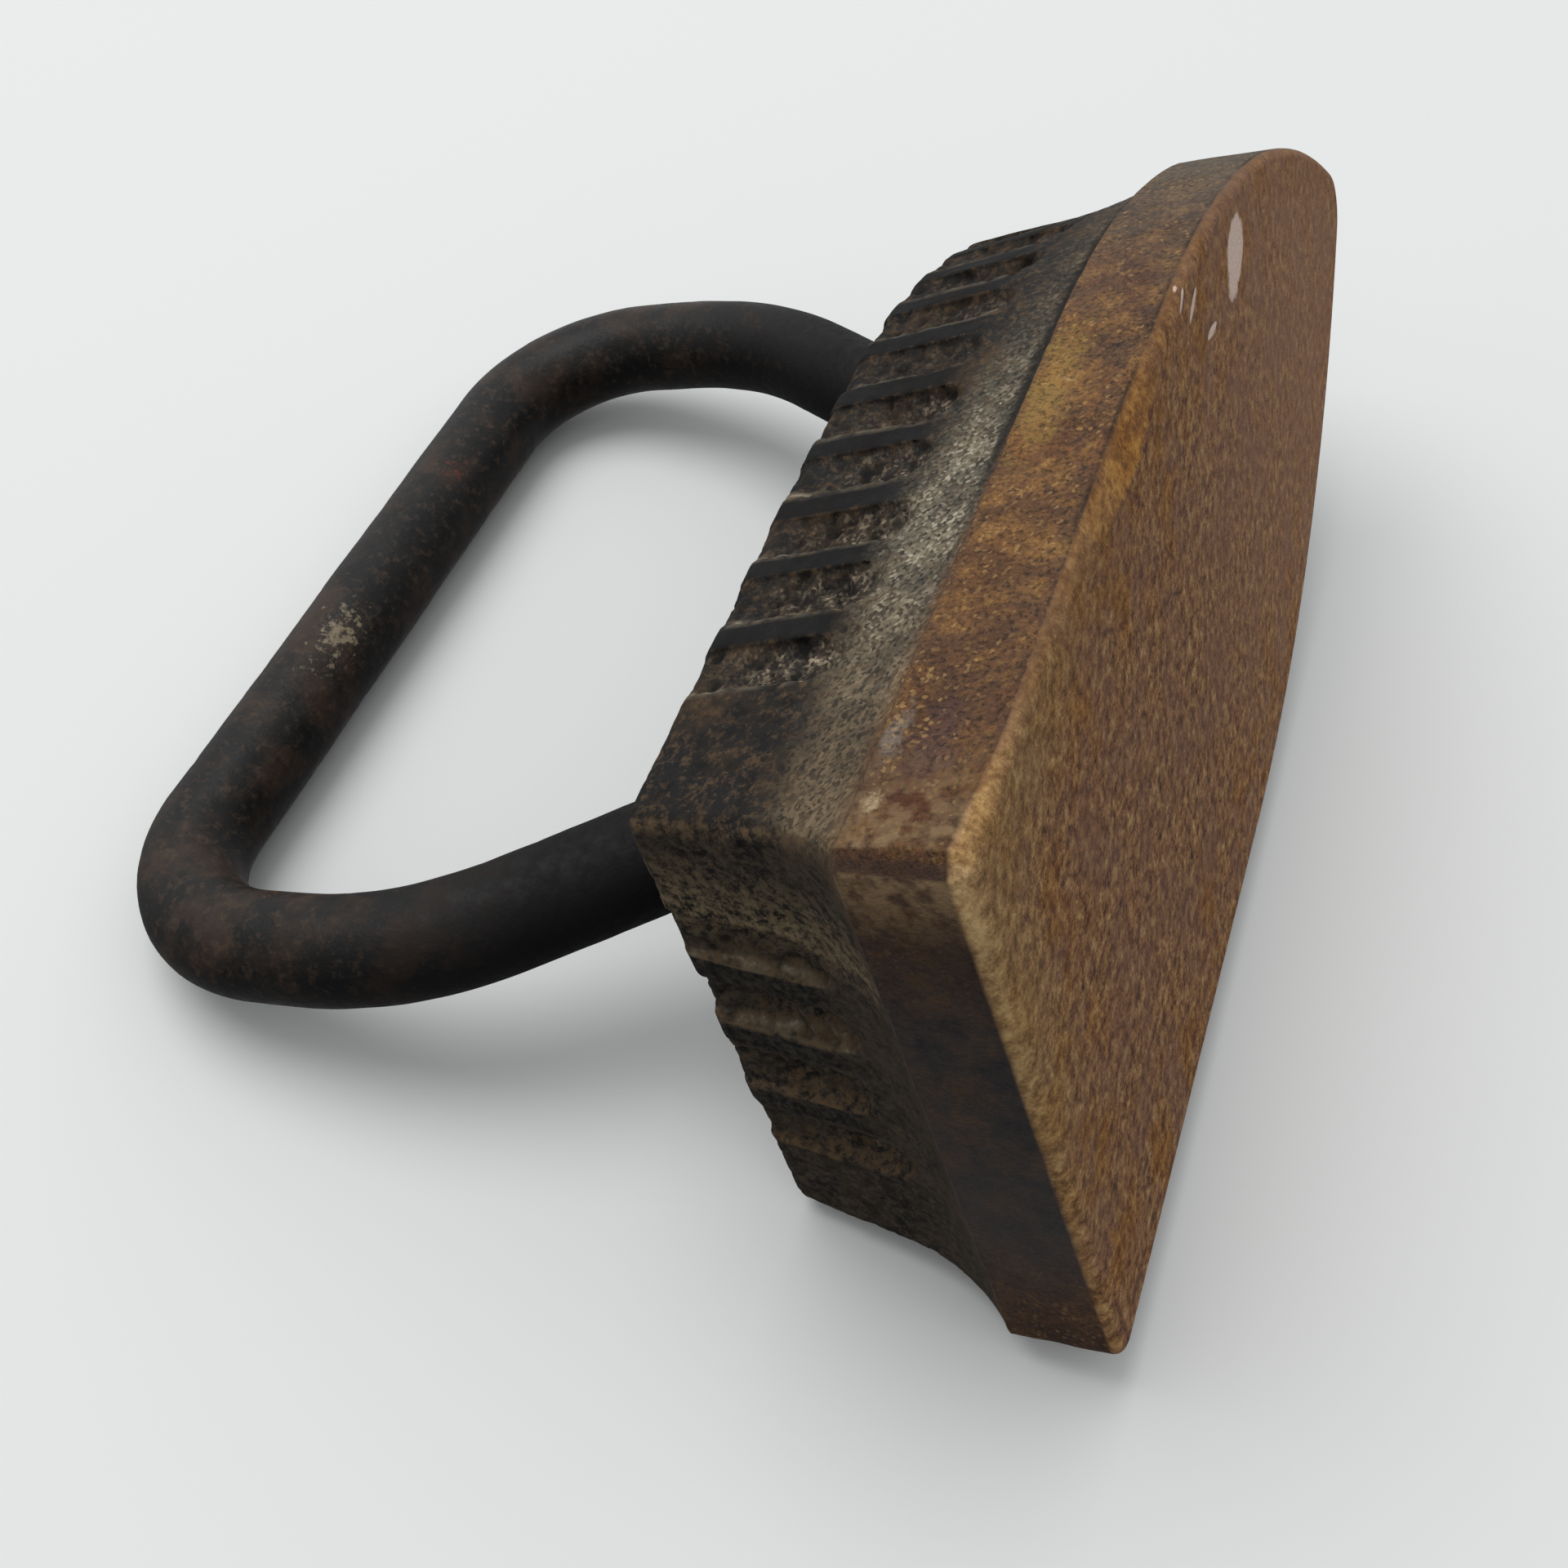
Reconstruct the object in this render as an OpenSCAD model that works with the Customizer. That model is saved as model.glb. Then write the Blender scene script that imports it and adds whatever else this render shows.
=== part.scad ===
// A solid flat iron, heated on a stove: one fluted iron casting on a thick boat-shaped sole,
// and a handle bent from a round bar, whose upset feet are held in the casting.
// Millimetres. +X points to the nose, +Y to the left of the person ironing, +Z up.
// The sole rests on Z = 0 and the origin is under the middle of its length.

/* [Sole plate] */
// Length from heel to nose
sole_len = 162.2; // [146:0.2:180]
// Greatest width
sole_w = 72.9; // [66:0.1:82]
// Distance from the heel to the greatest width
widest_x = 75.3; // [66:0.1:84]
// How far each side draws in from the greatest width to the heel
heel_taper = 0.3; // [0:0.1:3]
// Rounding of the nose, seen from above
nose_r = 6.2; // [4:0.1:8]
// Rounding of the two heel corners, seen from above
heel_corner_r = 1.6; // [1:0.1:6]
// Thickness of the plate, from the sole up to the crease
plate_h = 11.9; // [9:0.1:13]
// Rounding of the edge all round the sole
sole_edge_r = 1.6; // [0.8:0.1:3.2]
// How far the plate's side leans in over its height
plate_lean = 0.4; // [0:0.1:1.4]
// Small break along the crease
crease_break = 0.3; // [0.1:0.05:0.8]

/* [Body] */
// Height of the flat top above the sole
body_h = 37.1; // [33:0.1:44]
// Setback of the top from the heel
top_heel_in = 9.6; // [8:0.1:13]
// Setback of the top from the sides
top_side_in = 5.7; // [5:0.1:9]
// Setback of the top from the nose
top_nose_in = 15.6; // [12:0.1:20]
// How far the top draws in from the greatest width to the heel
top_taper = 2.2; // [0:0.1:4]
// Rounding of the top's nose, seen from above
top_nose_r = 6.3; // [5:0.1:10]
// Rounding of the upright corners at the heel
body_corner_r = 2.1; // [1:0.1:4]
// Lean of the walls from upright, in degrees
wall_lean = 10; // [5:0.5:12]
// Height of the hollow sweep from the crease up into the wall
cove_h = 14; // [8:0.5:16]
// Rounding of the rim round the top
rim_r = 1.6; // [0.8:0.1:2.2]

/* [Flutes] */
// Flutes along each side
side_flutes = 13; // [6:1:13]
// Flutes across the heel
heel_flutes = 4; // [2:2:4]
// Distance from one flute to the next
flute_pitch = 9.65; // [8:0.05:9.7]
// Width of one flute; the flat rib beside it has the rest of the pitch
flute_w = 6.2; // [4:0.1:6.8]
// Depth of a flute at its middle
flute_depth = 1.5; // [0.6:0.1:1.9]
// Distance from the heel to the first side flute
first_flute_x = 25; // [22:0.2:30]
// Height of the flutes' lower ends above the sole
flute_end_z = 19.8; // [18.8:0.1:23]
// Height over which a lower end rounds out
flute_end_h = 4; // [2:0.5:6]

/* [Handle] */
// Diameter of the bar
bar_d = 12.7; // [10:0.1:14]
// Height of the grip's axis above the sole
grip_h = 115.1; // [106:0.1:130]
// Distance between the axes of the two uprights
handle_span = 119.5; // [108:0.1:126]
// Distance from the heel to the middle of the handle
handle_x = 74.4; // [70:0.1:80]
// Bend radius of the bar's axis at the ends of the grip
grip_bend_r = 18.5; // [14:0.5:23]
// Drop from the grip's axis to where the uprights turn in
turn_drop = 37.7; // [36:0.1:46]
// Bend radius of the bar's axis where the uprights turn in
turn_bend_r = 41.8; // [25:0.1:50]
// Distance between the bar's axes where they enter the top
foot_span = 62.8; // [54:0.1:70]

/* [Cast-in feet] */
// Depth of a foot's end below the top
foot_depth = 22; // [15:0.5:23]
// How far the upset head stands out round the bar
head_out = 2; // [1:0.1:3]
// Length of the upset head along the bar
head_len = 5; // [3:0.5:8]
// Gap between the bar and the iron cast round it
cast_gap = 0.1; // [0.05:0.01:0.2]

/* [Hidden] */
$fn = 64;
iron_black = [0.13, 0.12, 0.11];
bar_black = [0.09, 0.085, 0.08];

// An outline is [heel x, half width, nose centre x, nose radius, corner radius, taper at the heel].
plate = [0, sole_w / 2, sole_len - nose_r, nose_r, heel_corner_r, heel_taper];
top = [top_heel_in, sole_w / 2 - top_side_in, sole_len - top_nose_in - top_nose_r, top_nose_r,
    body_corner_r, top_taper];

// The walls grow by this much from the top down to the crease, and always stay inside the plate.
least_cove = 0.5;
crease_in = -plate_lean - crease_break;
wall_run = min((body_h - plate_h) * tan(wall_lean), top_side_in + crease_in - least_cove);

// Radius of the arc that runs from the greatest width to the nose, tangent to the nose's rounding.
function side_arc_r(o) = (pow(o[2] - widest_x, 2) + o[1] * o[1] - o[3] * o[3]) / (2 * (o[1] - o[3]));

// Angle of that arc where it meets the nose.
function side_arc_end(o) = atan2(o[2] - widest_x, side_arc_r(o) - o[1]);

// Half width behind the greatest width, for an outline grown by g.
function rear_y(o, x, g) = o[1] + g - o[5] * pow((widest_x - x) / widest_x, 2);

// Corner radius of an outline grown by g: kept when it grows, smaller when it shrinks.
least_corner_r = 0.5;
function corner_r(o, g) = max(least_corner_r, o[4] + min(g, 0));

// A station is [place, value, flute]: where a point of every ring lies. Places:
// 0 heel at y = value, 1 heel corner, 2 side at x = value, 3 arc to the nose, 4 nose.
// For places 1, 3 and 4 the value is the share of the way along.
// flute runs from -1 to 1 across a flute and is 2 on a rib or margin.
function corner_point(o, a, g) =
    let (r = corner_r(o, g), x = o[0] - g + r)
    [x - r * cos(a), rear_y(o, x, g) - r + r * sin(a)];
function arc_point(o, a, g) =
    let (r = side_arc_r(o) + g)
    [widest_x + r * sin(a), o[1] - side_arc_r(o) + r * cos(a)];
function nose_point(o, a, g) = [o[2] + (o[3] + g) * sin(a), (o[3] + g) * cos(a)];
function point_at(o, s, g) =
    s[0] == 0 ? [o[0] - g, s[1]] :
    s[0] == 1 ? corner_point(o, 90 * s[1], g) :
    s[0] == 2 ? [s[1], rear_y(o, s[1], g)] :
    s[0] == 3 ? arc_point(o, side_arc_end(o) * s[1], g) :
    nose_point(o, side_arc_end(o) + (90 - side_arc_end(o)) * s[1], g);

// Stations along one half, from the middle of the heel round to the tip of the nose.
rib_w = flute_pitch - flute_w;
across = [-1, -0.88, -0.5, 0, 0.5, 0.88, 1];
corner_steps = 3;
nose_steps = 4;
arc_len = side_arc_r(top) * side_arc_end(top) * PI / 180;
heel_room = rear_y(top, top_heel_in + body_corner_r, 0) - body_corner_r;
heel_half = min(heel_flutes / 2, floor((heel_room - rib_w / 2) / flute_pitch));
side_n = min(side_flutes, floor((widest_x + arc_len - first_flute_x) / flute_pitch));
function in_flute(i, f) = i * flute_pitch + (1 + f) * flute_w / 2;
function side_station(d, f) = d <= widest_x ? [2, d, f] : [3, (d - widest_x) / arc_len, f];
stations = concat(
    [[0, 0, 2]],
    [for (i = [0 : heel_half - 1], f = across) [0, rib_w / 2 + in_flute(i, f), f]],
    [for (i = [0 : corner_steps]) [1, i / corner_steps, 2]],
    [for (i = [0 : side_n - 1], f = across) side_station(first_flute_x + in_flute(i, f), f)],
    [for (i = [0 : nose_steps]) [4, i / nose_steps, 2]]
);

// Depth of a flute: a scooped groove, open at the rim, that rounds out at its lower end.
function flute_in(f, z) =
    let (e = max(0, (flute_end_z + flute_end_h - z) / flute_end_h))
    f > 1 ? 0 : flute_depth * sqrt(max(0, 1 - f * f - e * e));

// Inset of the rim's rounding at a height.
rim_z = body_h - rim_r;
function rim_in(z) = z < rim_z ? 0 : rim_r - sqrt(max(0, rim_r * rim_r - pow(z - rim_z, 2)));

// The wall with its flutes, swept out along the hollow to meet the crease.
cove_power = 3;
function wall_grow(z) = wall_run * (body_h - z) / (body_h - plate_h);
function wall_point(s, z) =
    let (p = point_at(top, s, wall_grow(z) - rim_in(z) - flute_in(s[2], z)),
        k = pow(max(0, 1 - (z - plate_h) / cove_h), cove_power))
    k == 0 ? p : p + k * (point_at(plate, s, crease_in) - point_at(top, s, wall_run));

// Heights of the rings up the plate's side, as [z, growth], and of those up the wall.
edge_step = 30;
cove_shares = [0.06, 0.15, 0.28, 0.45];
end_shares = [0, 0.12, 0.35, 0.65, 1];
plate_rings = concat(
    [for (a = [0 : edge_step : 90]) [sole_edge_r * (1 - cos(a)), -sole_edge_r * (1 - sin(a))]],
    [[plate_h - crease_break, -plate_lean], [plate_h, crease_in]]
);
wall_rings = concat(
    [for (k = cove_shares) plate_h + cove_h * k],
    [for (k = end_shares) flute_end_z + flute_end_h * k],
    [(flute_end_z + flute_end_h + rim_z) / 2],
    [for (a = [0 : edge_step : 90]) rim_z + rim_r * sin(a)]
);

// A whole ring at one height from the points of its half, mirrored to the other side.
function ring(half, z) = concat(
    [for (p = half) [p[0] - sole_len / 2, p[1], z]],
    [for (i = [len(half) - 2 : -1 : 1]) [half[i][0] - sole_len / 2, -half[i][1], z]]
);
flat_margin = 0.3;
top_ring_in = rim_r + flute_depth + flat_margin;
body_rings = concat(
    [for (r = plate_rings) ring([for (s = stations) point_at(plate, s, r[1])], r[0])],
    [for (z = wall_rings) ring([for (s = stations) wall_point(s, z)], z)],
    [ring([for (s = stations) point_at(top, s, -top_ring_in)], body_h)]
);

// A closed skin over rings of equal length, each end closed round its middle.
function middle(ring) = [for (p = ring) 1] * ring / len(ring);
module skin_over(rings) {
    n = len(rings[0]);
    last = len(rings) - 1;
    foot_mid = n * len(rings);
    sides = [for (k = [0 : last - 1], i = [0 : n - 1], t = [0, 1])
        let (a = k * n + i, b = k * n + (i + 1) % n)
        t == 0 ? [a, b, b + n] : [a, b + n, a + n]];
    ends = [for (i = [0 : n - 1], t = [0, 1])
        let (j = (i + 1) % n)
        t == 0 ? [foot_mid, j, i] : [foot_mid + 1, last * n + i, last * n + j]];
    polyhedron(
        points = concat([for (r = rings, p = r) p], [middle(rings[0]), middle(rings[last])]),
        faces = concat(sides, ends)
    );
}

// The front half of the bar's axis, seen from the side: grip, bend, upright, turn, leg and foot.
half_span = handle_span / 2;
turn_z = grip_h - turn_drop;
leg_lean = atan2(half_span - foot_span / 2, turn_z - body_h);
least_straight = 0.2;
turn_r = min(turn_bend_r, (turn_drop - grip_bend_r - least_straight) / tan(leg_lean / 2));
turn_top_z = turn_z + turn_r * tan(leg_lean / 2);
leg_top = [half_span - turn_r * (1 - cos(leg_lean)), turn_top_z - turn_r * sin(leg_lean)];
leg_len = (leg_top[1] - body_h + foot_depth) / cos(leg_lean);
handle_mid_x = handle_x - sole_len / 2;

// Places along the bar, from the middle of the grip down to the foot, as [x, z, turned angle, radius].
bar_r = bar_d / 2;
head_r = bar_r + head_out;
head_swell = 1;
function on_bend(mid, r, a) = [mid[0] + r * sin(a), mid[1] + r * cos(a), a, bar_r];
function on_leg(d, r) =
    [leg_top[0] - d * sin(leg_lean), leg_top[1] - d * cos(leg_lean), 90 + leg_lean, r];
bend_step = 7.5;
turn_steps = 6;
bend_mid = [half_span - grip_bend_r, grip_h - grip_bend_r];
turn_mid = [half_span - turn_r, turn_top_z];
half_bar = concat(
    [for (a = [0 : bend_step : 90]) on_bend(bend_mid, grip_bend_r, a)],
    [for (i = [0 : turn_steps]) on_bend(turn_mid, turn_r, 90 + leg_lean * i / turn_steps)],
    [on_leg(leg_len - head_len - head_swell, bar_r), on_leg(leg_len - head_len, head_r)],
    [on_leg(leg_len - head_swell, head_r), on_leg(leg_len, bar_r)]
);
bar_sides = 32;
function bar_ring(p, m) = [for (i = [0 : bar_sides - 1])
    let (t = 360 * i / bar_sides, out = p[3] * cos(t), side = p[3] * sin(t))
    [handle_mid_x + m * (p[0] + out * sin(p[2])), side, p[1] + out * cos(p[2])]];
bar_rings = concat(
    [for (i = [len(half_bar) - 1 : -1 : 0]) bar_ring(half_bar[i], -1)],
    [for (p = half_bar) bar_ring(p, 1)]
);

// The room that the casting leaves for one foot.
module foot_room() {
    translate([leg_top[0], 0, leg_top[1]])
        rotate([0, leg_lean + 180, 0]) {
            cylinder(r = bar_r + cast_gap, h = leg_len + cast_gap);
            translate([0, 0, leg_len - head_len - head_swell - cast_gap])
                cylinder(r = head_r + cast_gap, h = head_len + head_swell + 2 * cast_gap);
        }
}

module both_ends() {
    translate([handle_mid_x, 0, 0])
        for (m = [0, 1])
            mirror([m, 0, 0])
                children();
}

module body() {
    color(iron_black)
        difference() {
            skin_over(body_rings);
            both_ends()
                foot_room();
        }
}

module handle() {
    color(bar_black)
        skin_over(bar_rings);
}

body();
handle();
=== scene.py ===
# %% [markdown]
# # A solid flat iron lying on its side
# The iron is two pieces: a fluted casting on a thick sole, and a handle bent from a round bar.
# The solids of model.glb come in first, because every piece made here has to sit where they sit.

import math

import bmesh
import bpy
import numpy as np
from mathutils import Matrix, Vector, noise


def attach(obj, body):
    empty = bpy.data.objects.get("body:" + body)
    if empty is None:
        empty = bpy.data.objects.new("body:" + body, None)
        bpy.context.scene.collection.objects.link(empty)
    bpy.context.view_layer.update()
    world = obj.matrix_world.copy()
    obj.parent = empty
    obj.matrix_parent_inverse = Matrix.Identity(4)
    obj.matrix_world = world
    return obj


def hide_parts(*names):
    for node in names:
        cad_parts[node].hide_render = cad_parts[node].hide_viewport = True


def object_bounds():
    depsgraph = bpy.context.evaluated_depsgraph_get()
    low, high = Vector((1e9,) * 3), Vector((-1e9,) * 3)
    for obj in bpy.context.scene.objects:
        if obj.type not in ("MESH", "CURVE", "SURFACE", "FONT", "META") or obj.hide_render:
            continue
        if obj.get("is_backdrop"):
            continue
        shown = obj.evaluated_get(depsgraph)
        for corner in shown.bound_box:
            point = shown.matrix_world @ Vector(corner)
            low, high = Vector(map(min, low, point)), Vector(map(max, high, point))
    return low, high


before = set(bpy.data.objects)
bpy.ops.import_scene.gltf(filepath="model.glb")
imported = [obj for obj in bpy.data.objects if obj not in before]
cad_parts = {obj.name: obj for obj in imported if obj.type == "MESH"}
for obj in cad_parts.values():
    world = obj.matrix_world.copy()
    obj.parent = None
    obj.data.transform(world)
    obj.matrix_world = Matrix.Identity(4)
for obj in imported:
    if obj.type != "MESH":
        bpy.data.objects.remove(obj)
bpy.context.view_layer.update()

# %% [markdown]
# ## How a surface is made here
# A casting like this has no straight edges to bevel: its outline changes all the way up, and flutes
# are scooped into it. So each piece starts as a flat grid, like a sheet of modelling wax, and every
# point of the sheet is carried to its place on the iron. The sheet's two ends meet and are welded.
# Rough skin is added last, by pushing each point in or out along its own normal.

# %% Wrap a flat sheet, push its skin and hand it in
MM = 0.001
WELD = 0.01 * MM


def rise(value, start, end):
    """0 up to start, 1 from end on, and a straight line between them."""
    return np.clip((value - start) / (end - start), 0.0, 1.0)


def wrap_sheet(place, values):
    """A closed piece from a grid of points. place holds each point's position in mm, row by row, and
    values holds one array of the same size for every mark that a finish reads."""
    along, across = place.shape[:2]
    bm = bmesh.new()
    bmesh.ops.create_grid(bm, x_segments=across - 1, y_segments=along - 1, size=0.5)
    layers = {key: bm.verts.layers.float.new(key) for key in values}
    for v in bm.verts:
        i = round((v.co.x + 0.5) * (across - 1))
        j = round((v.co.y + 0.5) * (along - 1))
        v.co = Vector(place[j, i]) * MM
        for key, layer in layers.items():
            v[layer] = values[key][j, i]
    bmesh.ops.remove_doubles(bm, verts=bm.verts, dist=WELD)
    bmesh.ops.recalc_face_normals(bm, faces=bm.faces)
    return bm, layers


def push_skin(bm, move):
    """Shifts every point by the vector in mm that move gives for it, with the normals as they were."""
    bm.normal_update()
    shifts = [move(v) * MM for v in bm.verts]
    for v, shift in zip(bm.verts, shifts):
        v.co += shift
    bm.normal_update()


def finish_piece(name, bm, node):
    """Puts a bmesh in the scene as the piece that stands for a node of the frame."""
    for face in bm.faces:
        face.smooth = True
    mesh = bpy.data.meshes.new(name)
    bm.to_mesh(mesh)
    bm.free()
    piece = bpy.data.objects.new(name, mesh)
    bpy.context.scene.collection.objects.link(piece)
    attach(piece, "root")
    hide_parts(node)
    print(name, "has", len(mesh.polygons), "faces")
    return piece


# %% [markdown]
# ## The casting's outline
# Seen from above, the iron is a pointed arch: a straight heel, two sides that hardly spread, and one
# long arc on each side that runs into a small rounded nose. The sole and the top have the same kind
# of outline at two sizes. A station is a place along that outline, so the same station can be found
# on the sole, on the crease and on the top, and the skin between them follows.
#
# Sizes are in mm, and x runs from the heel to the nose. Only the plate's right corner is a flat bevel.

# %% Outlines of the sole plate and of the top
SOLE_LEN = 162.2
WIDEST_X = 75.3
PLATE = dict(heel=0.0, half=36.45, tip=156.0, tip_r=6.2, corner=(3.2, 2.0), taper=0.3)
TOP = dict(heel=9.6, half=30.75, tip=140.3, tip_r=6.3, corner=(2.1, 2.1), taper=2.2)
LEAST_CORNER_R, LEAST_NOSE_R = 0.5, 0.2
HEEL, CORNER, SIDE, ARC, NOSE = range(5)
QUARTER = math.pi / 2


def arc_of(form):
    """Radius of the arc from the greatest width to the nose, and its angle where it meets the nose."""
    run = form["tip"] - WIDEST_X
    radius = (run**2 + form["half"] ** 2 - form["tip_r"] ** 2) / (2 * (form["half"] - form["tip_r"]))
    return radius, math.atan2(run, radius - form["half"])


def rear_y(form, x, grow):
    """Half the width behind the widest place, where the sides draw in a little towards the heel."""
    return form["half"] + grow - form["taper"] * ((WIDEST_X - x) / WIDEST_X) ** 2


def outline(form, where, grow):
    """Points of an outline, grown outwards by grow, at all the stations."""
    stretch, value, side = where["stretch"], where["value"], where["side"]
    grow = np.broadcast_to(np.asarray(grow, float), value.shape)
    arc_r, arc_end = arc_of(form)
    x, y = np.zeros_like(value), np.zeros_like(value)
    at = stretch == HEEL
    x[at], y[at] = form["heel"] - grow[at], value[at]
    at = stretch == CORNER
    r = np.maximum(LEAST_CORNER_R, np.where(side > 0, *form["corner"])[at] + np.minimum(grow[at], 0))
    bevelled = (form is PLATE) & (side[at] < 0)
    cos = np.where(bevelled, 1 - value[at], np.cos(value[at] * QUARTER))
    sin = np.where(bevelled, value[at], np.sin(value[at] * QUARTER))
    middle = form["heel"] - grow[at] + r
    x[at], y[at] = middle - r * cos, rear_y(form, middle, grow[at]) - r + r * sin
    at = stretch == SIDE
    x[at], y[at] = value[at], rear_y(form, value[at], grow[at])
    at = stretch == ARC
    turn, r = value[at] * arc_end, arc_r + grow[at]
    x[at], y[at] = WIDEST_X + r * np.sin(turn), form["half"] - arc_r + r * np.cos(turn)
    at = stretch == NOSE
    turn, r = arc_end + value[at] * (QUARTER - arc_end), np.maximum(LEAST_NOSE_R, form["tip_r"] + grow[at])
    x[at], y[at] = form["tip"] + r * np.sin(turn), r * np.cos(turn)
    return x, y * side


print("sole", SOLE_LEN, "mm long and", 2 * PLATE["half"], "mm wide")

# %% [markdown]
# ## The flutes
# The pattern maker cut the same scooped groove again and again: thirteen down each side and four
# across the heel. Each one runs out at the rim and ends round at the bottom. A wooden pattern, a
# hand-rammed mould and a century of use leave no two alike, so every groove gets its own small error
# of place, width and depth from a seeded list of random numbers. A slip is an error in mm, and a
# spread is one as a share of the size.

# %% Stations along half of the outline
PITCH, FLUTE_W, FLUTE_DEPTH = 9.65, 6.2, 1.5
RIB_W = PITCH - FLUTE_W
FIRST_FLUTE_X, FLUTE_END_Z, FLUTE_END_H = 25.0, 19.8, 4.0
SIDE_FLUTES, HEEL_PAIRS = 13, 2
HEEL_STRAIGHT, SIDE_START = 25.5, 13.5
ON_RIB, PLAIN, NO_GROOVE = 2.0, 3.0, -1
HEEL_SLIP, HEEL_SPREAD, SIDE_SLIP, SIDE_SPREAD = 0.2, 0.03, 0.25, 0.05
chance = np.random.default_rng(11)


def over_groove(points):
    """Places across a groove from -1 to 1, closer together at its two edges."""
    return np.sin(np.linspace(-1, 1, points) * QUARTER)


def half_stations(side, first_groove):
    """Stations from the middle of the heel to the tip of the nose along one side. Each has its stretch
    of the outline, how far along that it is, the place across a groove, the groove's number and the
    side. The right side and the heel are seen close up, so they get more points."""
    arc_r, arc_end = arc_of(TOP)
    found = [(HEEL, k * RIB_W / 2, ON_RIB, NO_GROOVE) for k in (0, 0.3, 0.6)]
    for g in range(HEEL_PAIRS):
        start = RIB_W / 2 + g * PITCH + chance.normal(0, HEEL_SLIP)
        wide = FLUTE_W * (1 + chance.normal(0, HEEL_SPREAD))
        found += [(HEEL, start + (1 + a) * wide / 2, a, first_groove + g) for a in over_groove(17)]
        if g < HEEL_PAIRS - 1:
            on_rib = start + wide + (PITCH - wide) * np.array((0.15, 0.35, 0.6, 0.85))
            found += [(HEEL, d, ON_RIB, NO_GROOVE) for d in on_rib]
    last = found[-1][1]
    found += [(HEEL, last + k * (HEEL_STRAIGHT - last), PLAIN, NO_GROOVE) for k in np.linspace(0.06, 1, 12)]
    found += [(CORNER, k, PLAIN, NO_GROOVE) for k in np.linspace(0, 1, 9)]
    if side < 0:
        rear_points, groove_points, rib_points = 24, 17, (0.12, 0.3, 0.5, 0.7, 0.88)
    else:
        rear_points, groove_points, rib_points = 12, 11, (0.3, 0.7)
    lengths = [(d, PLAIN, NO_GROOVE) for d in np.linspace(SIDE_START, FIRST_FLUTE_X - 0.5, rear_points)]
    for g in range(SIDE_FLUTES):
        start = FIRST_FLUTE_X + g * PITCH + chance.normal(0, SIDE_SLIP)
        wide = FLUTE_W * (1 + chance.normal(0, SIDE_SPREAD))
        number = first_groove + HEEL_PAIRS + g
        lengths += [(start + (1 + a) * wide / 2, a, number) for a in over_groove(groove_points)]
        lengths += [(start + wide + k * (PITCH - wide - 0.5), ON_RIB, NO_GROOVE) for k in rib_points]
    last, end = lengths[-1][0], WIDEST_X + arc_r * arc_end
    lengths += [(last + k * (end - last), PLAIN, NO_GROOVE) for k in np.linspace(0.2, 0.9, 6)]
    for d, across, number in lengths:
        if d <= WIDEST_X:
            found.append((SIDE, d, across, number))
        else:
            found.append((ARC, (d - WIDEST_X) / (arc_r * arc_end), across, number))
    found += [(NOSE, k, PLAIN, NO_GROOVE) for k in np.linspace(0, 1, 13)]
    return [(*station, side) for station in found]


# %% Stations round the casting, and each groove's own depth and end
PER_SIDE = HEEL_PAIRS + SIDE_FLUTES
DEEPER_AT_HEEL = 1.35
DEPTH_SPREAD, END_SLIP = 0.14, 0.5
left = half_stations(1, 0)
right = half_stations(-1, PER_SIDE)
ring = left + right[-2:0:-1] + left[:1]
stations = dict(zip(("stretch", "value", "across", "groove", "side"), np.array(ring, float).T))
groove_depth = FLUTE_DEPTH * (1 + chance.normal(0, DEPTH_SPREAD, 2 * PER_SIDE))
groove_end = FLUTE_END_Z + chance.normal(0, END_SLIP, 2 * PER_SIDE)
groove_depth[[g + first for g in range(HEEL_PAIRS) for first in (0, PER_SIDE)]] *= DEEPER_AT_HEEL
groove = stations["groove"].astype(int)
in_groove = groove != NO_GROOVE
print(len(ring), "stations and", len(groove_depth), "grooves")

# %% [markdown]
# ## Edges worn by use
# The sole's edge is not the same all round. At the heel it is rounded off, most of all at the right
# corner. Along the sides it is nearly sharp, but on the right somebody ground or wore a slanting facet,
# five millimetres wide. Above the plate the casting steps back behind a small ledge, which shows best
# towards the nose, where the wall also stands steeper and leaves a deeper notch above the plate.

# %% Width and height of the worn edge, depth of the ledge and lean of the wall at each station
PLATE_H, BODY_H = 11.9, 37.1
PLATE_LEAN, CREASE_BREAK = 0.4, 0.3
WALL_RUN = (BODY_H - PLATE_H) * math.tan(math.radians(10))
FACET_MIDDLE, FACET_AHEAD, FACET_BEHIND = -24, 11, 18
rim_x, rim_y = outline(PLATE, stations, 0.0)
from_mid = rim_x - SOLE_LEN / 2
at_heel = np.isin(stations["stretch"], (HEEL, CORNER))
on_right = (stations["side"] < 0) & ~at_heel
from_facet = from_mid - FACET_MIDDLE
facet = on_right * np.exp(-((from_facet / np.where(from_facet > 0, FACET_AHEAD, FACET_BEHIND)) ** 2))
heel_wear = rise(-rim_y, -PLATE["half"], PLATE["half"]) * at_heel
edge_in = 1.3 + 1.1 * heel_wear + 3.9 * facet
edge_up = 1.2 + 1.0 * heel_wear + 0.3 * facet
ledge = 0.15 + 0.75 * rise(from_mid, -40, 5) * ~at_heel
at_nose = rise(from_mid, 38, 76)
wall_run = WALL_RUN * (1 - 0.7 * at_nose)
print("worn facet up to", round(float(edge_in.max()), 1), "mm wide")

# %% [markdown]
# ## The casting's skin
# From the middle of the sole the sheet runs out to the sole's worn edge, up the plate's side to the
# crease, up the hollow sweep, over the fluted wall, round the rim and in to the middle of the top.
# Each row also writes down what kind of surface it is, for the finishes to read later: how deep in a
# groove, on its lip or on a rib, how far out on the sole, on its worn edge, or on the crease's crest.

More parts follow.
